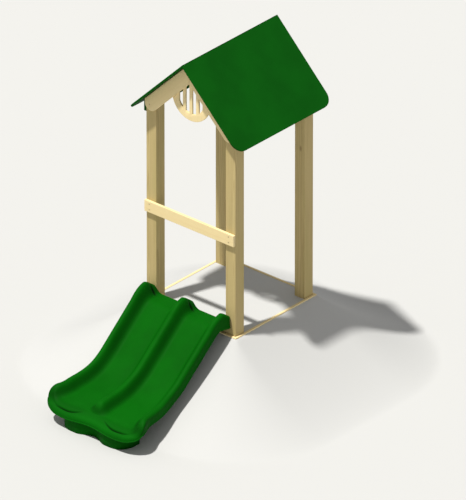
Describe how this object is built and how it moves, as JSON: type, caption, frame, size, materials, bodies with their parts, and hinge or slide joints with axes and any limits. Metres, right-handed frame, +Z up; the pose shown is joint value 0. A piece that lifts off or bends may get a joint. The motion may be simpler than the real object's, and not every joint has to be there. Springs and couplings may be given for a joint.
{
  "type": "wave slide with play tower",
  "caption": "Mound slide with two wavy moulded lanes, on a lobed foot, below a small open timber tower with a pitched roof.",
  "frame": {"origin": "centre of the overall box at the level of the slide foot's underside and the buried ends of the posts", "axes": "+Z up; +X to the right for someone facing the tower from the slide; the slide runs down towards -Y"},
  "size_m": [1.1282, 2.1893, 2.787],
  "materials": {
    "timber": "sawn, pressure treated",
    "pale_board": "planed, pale",
    "green_sheet": "fine matt",
    "green_moulding": "satin moulded",
    "zinc_steel": "zinc plated"
  },
  "bodies": {
    "root": {"bearer_screw_left": "zinc_steel", "bearer_screw_right": "zinc_steel", "eave_board_left": "green_sheet", "eave_board_right": "green_sheet", "eave_screw_left_front": "zinc_steel", "eave_screw_left_rear": "zinc_steel", "eave_screw_right_front": "zinc_steel", "eave_screw_right_rear": "zinc_steel", "foot_screw_left": "zinc_steel", "foot_screw_right": "zinc_steel", "gable_board_front_left": "pale_board", "gable_board_front_right": "pale_board", "gable_board_rear_left": "pale_board", "gable_board_rear_right": "pale_board", "gable_screw_front_left_post": "zinc_steel", "gable_screw_front_left_ridge": "zinc_steel", "gable_screw_front_right_post": "zinc_steel", "gable_screw_front_right_ridge": "zinc_steel", "gable_screw_rear_left_post": "zinc_steel", "gable_screw_rear_left_ridge": "zinc_steel", "gable_screw_rear_right_post": "zinc_steel", "gable_screw_rear_right_ridge": "zinc_steel", "ground_board_front": "pale_board", "ground_board_left": "pale_board", "ground_board_rear": "pale_board", "ground_board_right": "pale_board", "ground_screw_front_left": "zinc_steel", "ground_screw_front_right": "zinc_steel", "ground_screw_left_front": "zinc_steel", "ground_screw_left_rear": "zinc_steel", "ground_screw_rear_left": "zinc_steel", "ground_screw_rear_right": "zinc_steel", "ground_screw_right_front": "zinc_steel", "ground_screw_right_rear": "zinc_steel", "guard_rail": "pale_board", "guard_rail_screw_left_lower": "zinc_steel", "guard_rail_screw_left_upper": "zinc_steel", "guard_rail_screw_right_lower": "zinc_steel", "guard_rail_screw_right_upper": "zinc_steel", "post_front_left": "timber", "post_front_right": "timber", "post_rear_left": "timber", "post_rear_right": "timber", "ridge_batten": "timber", "roof_panel_left": "green_sheet", "roof_panel_right": "green_sheet", "slide_bearer": "timber", "slide_bolt_left": "zinc_steel", "slide_bolt_middle": "zinc_steel", "slide_bolt_right": "zinc_steel", "slide_chute": "green_moulding", "slide_foot": "green_moulding", "slide_nut_left": "zinc_steel", "slide_nut_middle": "zinc_steel", "slide_nut_right": "zinc_steel", "sun_panel": "pale_board", "sun_panel_screw_left_lower": "zinc_steel", "sun_panel_screw_left_upper": "zinc_steel", "sun_panel_screw_right_lower": "zinc_steel", "sun_panel_screw_right_upper": "zinc_steel"}
  },
  "joints": []
}
